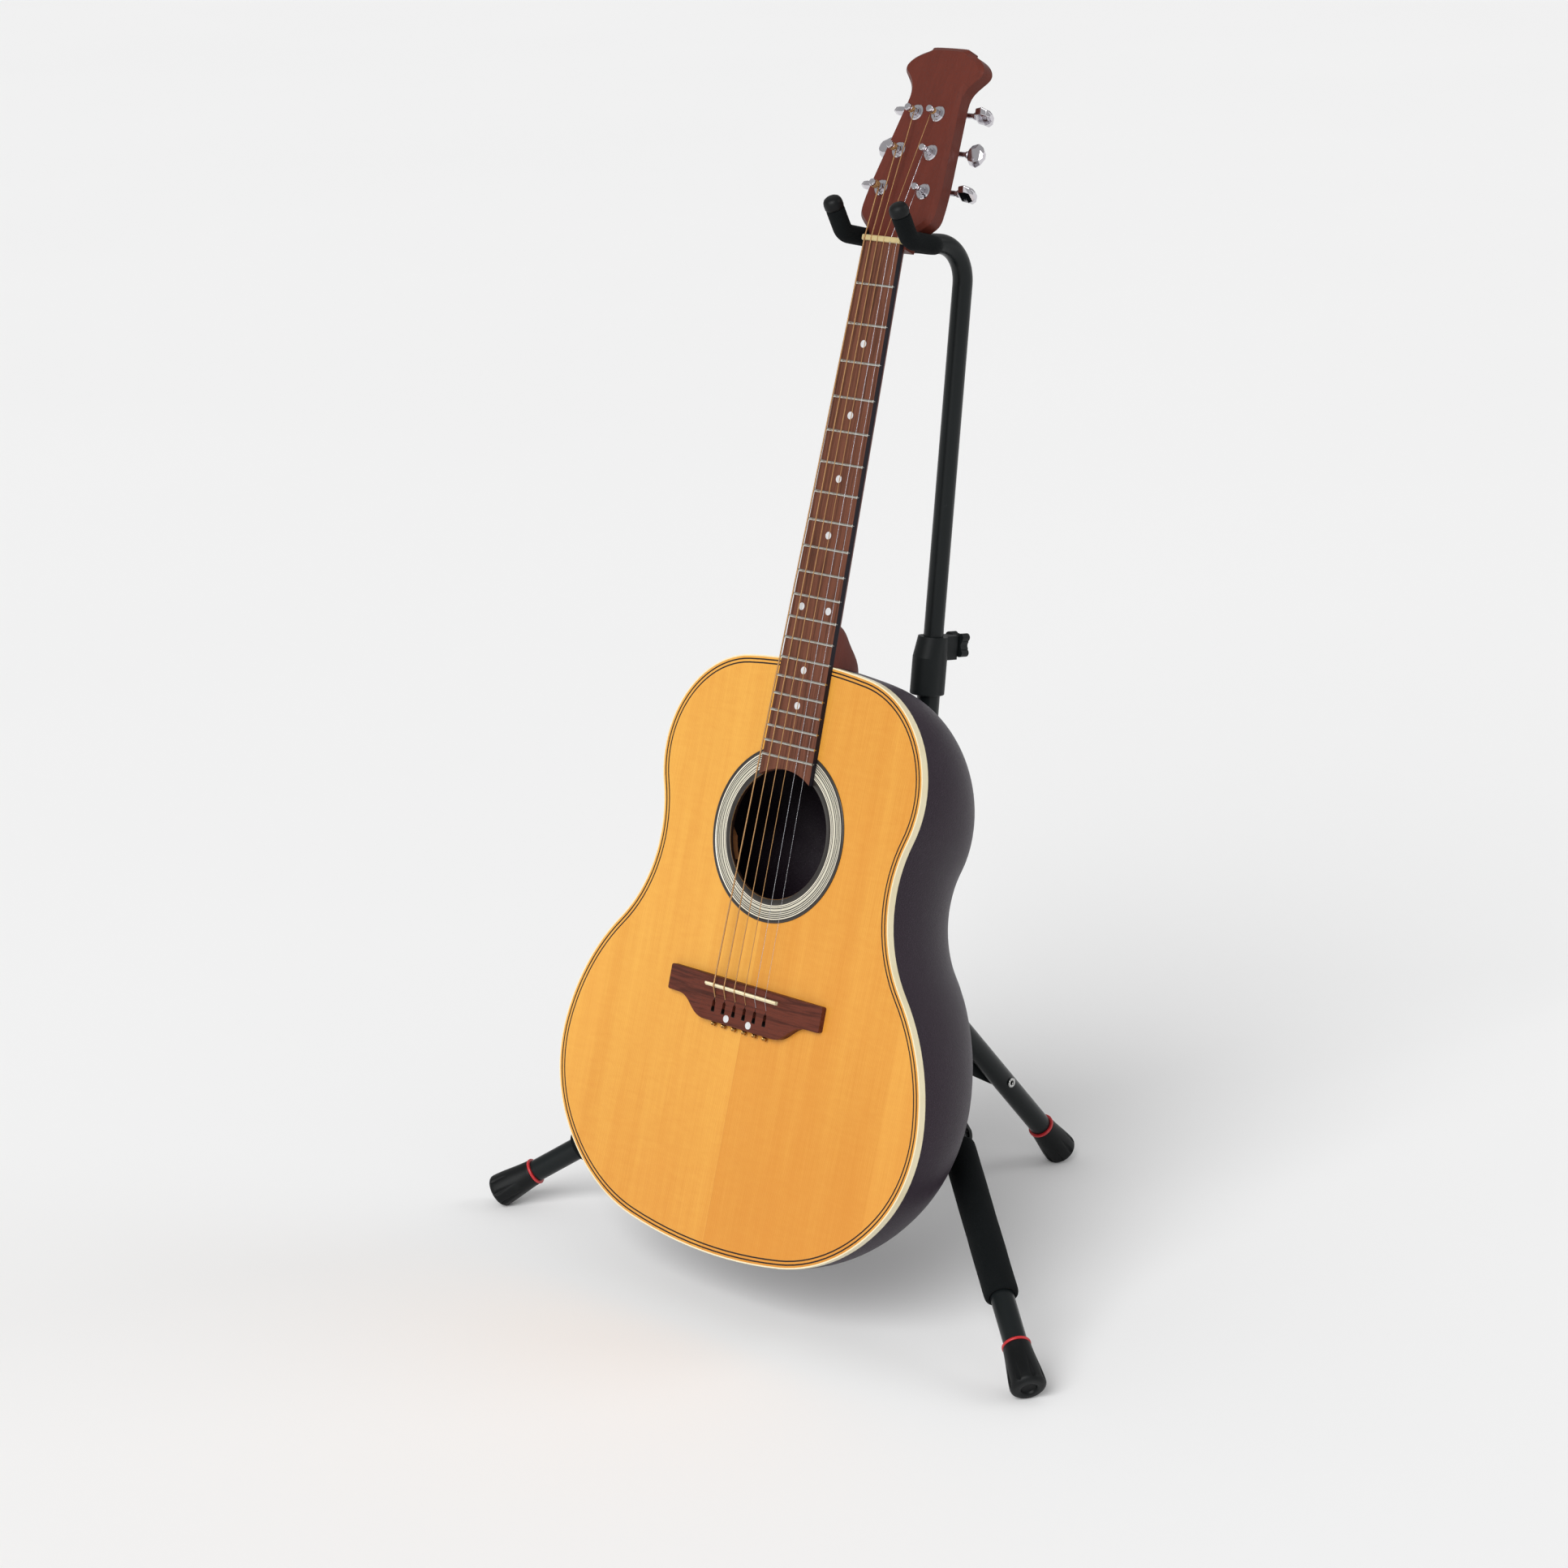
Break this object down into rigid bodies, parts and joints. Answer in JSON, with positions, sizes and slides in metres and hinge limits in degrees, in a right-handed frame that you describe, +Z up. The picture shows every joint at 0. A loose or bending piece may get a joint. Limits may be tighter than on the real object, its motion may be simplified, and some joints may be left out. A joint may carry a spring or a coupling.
{
  "type": "acoustic guitar on folding stand",
  "caption": "Round-backed acoustic guitar resting on a folding tripod stand with a foam-covered yoke at the neck and a height clamp on the mast.",
  "frame": {"origin": "middle of the footprint on the floor", "axes": "+Z up, -Y towards the front that the soundboard faces, +X to the right as seen from the front"},
  "size_m": [0.6652, 0.4766, 1.0365],
  "materials": {
    "black_foam": "closed cell foam",
    "black_plastic": "moulded black plastic",
    "black_purfling": "black plastic",
    "black_rubber": "moulded rubber",
    "black_tube": "satin black powder coat",
    "bowl_composite": "dark moulded composite with fine stipple",
    "bronze_string": "bronze winding",
    "button_plastic": "black plastic",
    "chrome": "polished chrome",
    "cream_binding": "cream plastic",
    "cream_nut": "cream moulding",
    "fret_metal": "nickel silver",
    "mahogany": "satin mahogany",
    "pale_inlay": "pale inlay",
    "red_ring": "red plastic",
    "rosette": "black and pale grey rings",
    "rosewood": "oiled rosewood",
    "spruce_bracing": "bare spruce",
    "spruce_top": "amber lacquered spruce",
    "steel": "plain steel",
    "strap_steel": "satin black strap with a nickel rivet"
  },
  "bodies": {
    "stand_base": {"lower_tube": "black_tube", "lower_tube_plug": "black_plastic", "height_clamp": "black_plastic", "leg_hub": "black_plastic"},
    "upper_mast": {"upper_tube": "black_tube", "yoke_headpiece": "black_plastic", "yoke_rod": "black_tube", "yoke_foam": "black_foam", "yoke_caps": "black_plastic"},
    "clamp_knob": {"clamp_knob": "black_plastic"},
    "runner": {"brace_runner": "black_plastic"},
    "runner_knob": {"runner_knob": "black_plastic"},
    "leg_right": {"leg_right": "black_tube", "foot_right": "black_rubber", "foot_ring_right": "red_ring", "leg_foam_right": "black_foam"},
    "brace_right": {"brace_right": "strap_steel"},
    "leg_left": {"leg_left": "black_tube", "foot_left": "black_rubber", "foot_ring_left": "red_ring", "leg_foam_left": "black_foam"},
    "brace_left": {"brace_left": "strap_steel"},
    "leg_rear": {"leg_rear": "black_tube", "foot_rear": "black_rubber", "foot_ring_rear": "red_ring"},
    "brace_rear": {"brace_rear": "strap_steel"},
    "tuner_button_bass_1": {"tuner_button_bass_1": "chrome"},
    "tuner_button_bass_2": {"tuner_button_bass_2": "chrome"},
    "tuner_button_bass_3": {"tuner_button_bass_3": "chrome"},
    "tuner_button_treble_1": {"tuner_button_treble_1": "chrome"},
    "tuner_button_treble_2": {"tuner_button_treble_2": "chrome"},
    "tuner_button_treble_3": {"tuner_button_treble_3": "chrome"},
    "tuner_post_bass_1": {"tuner_post_bass_1": "chrome"},
    "tuner_post_bass_2": {"tuner_post_bass_2": "chrome"},
    "tuner_post_bass_3": {"tuner_post_bass_3": "chrome"},
    "tuner_post_treble_1": {"tuner_post_treble_1": "chrome"},
    "tuner_post_treble_2": {"tuner_post_treble_2": "chrome"},
    "tuner_post_treble_3": {"tuner_post_treble_3": "chrome"},
    "guitar": {"bowl_shell": "bowl_composite", "bridge": "rosewood", "fingerboard": "rosewood", "frets": "fret_metal", "neck": "mahogany", "neck_block": "spruce_bracing", "nut": "cream_nut", "plain_strings": "steel", "position_dots": "pale_inlay", "purfling_lines": "black_purfling", "rim_lining": "spruce_bracing", "rosette_rings": "rosette", "saddle": "cream_nut", "soundboard": "spruce_top", "soundboard_braces": "spruce_bracing", "strap_button": "button_plastic", "top_binding": "cream_binding", "truss_rod": "steel", "tuner_bushings": "chrome", "tuner_cases": "chrome", "wound_strings": "bronze_string"}
  },
  "joints": [
    {"name": "guitar_lift", "type": "slide", "parent": "stand_base", "child": "guitar", "axis": [0, -0.3401, 0.9404], "range_m": [0, 0.35]},
    {"name": "mast_height", "type": "slide", "parent": "stand_base", "child": "upper_mast", "axis": [0, 0.153, 0.9882], "range_m": [-0.15, 0]},
    {"name": "clamp_knob_turn", "type": "hinge", "parent": "stand_base", "child": "clamp_knob", "pos_m": [0, 0.09419, 0.523], "axis": [0, 0.9882, -0.153], "range_deg": [-90, 180]},
    {"name": "fold_leg_left", "type": "hinge", "parent": "stand_base", "child": "leg_left", "pos_m": [-0.02294, 0.00851, 0.22611], "axis": [0.471, -0.8717, 0.135], "range_deg": [0, 48.6]},
    {"name": "brace_swing_left", "type": "hinge", "parent": "leg_left", "child": "brace_left", "pos_m": [-0.13583, -0.06497, 0.14545], "axis": [0.471, -0.8717, 0.135], "range_deg": [0, 15.82]},
    {"name": "fold_leg_right", "type": "hinge", "parent": "stand_base", "child": "leg_right", "pos_m": [0.02294, 0.00851, 0.22611], "axis": [0.471, 0.8717, -0.135], "range_deg": [0, 48.62]},
    {"name": "brace_swing_right", "type": "hinge", "parent": "leg_right", "child": "brace_right", "pos_m": [0.13583, -0.06497, 0.14545], "axis": [0.471, 0.8717, -0.135], "range_deg": [0, 15.82]},
    {"name": "fold_leg_rear", "type": "hinge", "parent": "stand_base", "child": "leg_rear", "pos_m": [0, 0.04631, 0.22026], "axis": [-1, 0, 0], "range_deg": [0, 43.42]},
    {"name": "brace_swing_rear", "type": "hinge", "parent": "leg_rear", "child": "brace_rear", "pos_m": [0, 0.14848, 0.10105], "axis": [-1, 0, 0], "range_deg": [0, 15.42]},
    {"name": "runner_slide", "type": "slide", "parent": "stand_base", "child": "runner", "axis": [0, 0.153, 0.9882], "range_m": [0, 0.0261]},
    {"name": "runner_knob_turn", "type": "hinge", "parent": "runner", "child": "runner_knob", "pos_m": [0.01011, 0.02196, 0.17343], "axis": [0.7431, 0.6613, -0.1024], "range_deg": [-90, 180]},
    {"name": "turn_button_bass_1", "type": "hinge", "parent": "guitar", "child": "tuner_button_bass_1", "pos_m": [-0.024, 0.06378, 0.92304], "axis": [-1, 0, 0], "continuous": true},
    {"name": "turn_post_bass_1", "type": "hinge", "parent": "guitar", "child": "tuner_post_bass_1", "pos_m": [-0.024, 0.04285, 0.9259], "axis": [0, -0.8746, 0.4848], "continuous": true},
    {"name": "turn_button_treble_1", "type": "hinge", "parent": "guitar", "child": "tuner_button_treble_1", "pos_m": [0.024, 0.06378, 0.92304], "axis": [1, 0, 0], "continuous": true},
    {"name": "turn_post_treble_1", "type": "hinge", "parent": "guitar", "child": "tuner_post_treble_1", "pos_m": [0.024, 0.04285, 0.9259], "axis": [0, -0.8746, 0.4848], "continuous": true},
    {"name": "turn_button_bass_2", "type": "hinge", "parent": "guitar", "child": "tuner_button_bass_2", "pos_m": [-0.0182, 0.08041, 0.95304], "axis": [-1, 0, 0], "continuous": true},
    {"name": "turn_post_bass_2", "type": "hinge", "parent": "guitar", "child": "tuner_post_bass_2", "pos_m": [-0.0182, 0.05948, 0.9559], "axis": [0, -0.8746, 0.4848], "continuous": true},
    {"name": "turn_button_treble_2", "type": "hinge", "parent": "guitar", "child": "tuner_button_treble_2", "pos_m": [0.0182, 0.08041, 0.95304], "axis": [1, 0, 0], "continuous": true},
    {"name": "turn_post_treble_2", "type": "hinge", "parent": "guitar", "child": "tuner_post_treble_2", "pos_m": [0.0182, 0.05948, 0.9559], "axis": [0, -0.8746, 0.4848], "continuous": true},
    {"name": "turn_button_bass_3", "type": "hinge", "parent": "guitar", "child": "tuner_button_bass_3", "pos_m": [-0.0122, 0.09699, 0.98295], "axis": [-1, 0, 0], "continuous": true},
    {"name": "turn_post_bass_3", "type": "hinge", "parent": "guitar", "child": "tuner_post_bass_3", "pos_m": [-0.0122, 0.07606, 0.98581], "axis": [0, -0.8746, 0.4848], "continuous": true},
    {"name": "turn_button_treble_3", "type": "hinge", "parent": "guitar", "child": "tuner_button_treble_3", "pos_m": [0.0122, 0.09699, 0.98295], "axis": [1, 0, 0], "continuous": true},
    {"name": "turn_post_treble_3", "type": "hinge", "parent": "guitar", "child": "tuner_post_treble_3", "pos_m": [0.0122, 0.07606, 0.98581], "axis": [0, -0.8746, 0.4848], "continuous": true}
  ],
  "couplings": [
    {"joint": "brace_swing_left", "follows": "fold_leg_left", "ratio": 0.3251},
    {"joint": "fold_leg_right", "follows": "fold_leg_left", "ratio": 1},
    {"joint": "brace_swing_right", "follows": "fold_leg_left", "ratio": 0.3251},
    {"joint": "fold_leg_rear", "follows": "fold_leg_left", "ratio": 0.893},
    {"joint": "brace_swing_rear", "follows": "fold_leg_left", "ratio": 0.31687},
    {"joint": "runner_slide", "follows": "fold_leg_left", "m_per_rad": 0.030652},
    {"joint": "turn_post_bass_1", "follows": "turn_button_bass_1", "ratio": -0.071429},
    {"joint": "turn_post_treble_1", "follows": "turn_button_treble_1", "ratio": 0.071429},
    {"joint": "turn_post_bass_2", "follows": "turn_button_bass_2", "ratio": -0.071429},
    {"joint": "turn_post_treble_2", "follows": "turn_button_treble_2", "ratio": 0.071429},
    {"joint": "turn_post_bass_3", "follows": "turn_button_bass_3", "ratio": -0.071429},
    {"joint": "turn_post_treble_3", "follows": "turn_button_treble_3", "ratio": 0.071429}
  ]
}
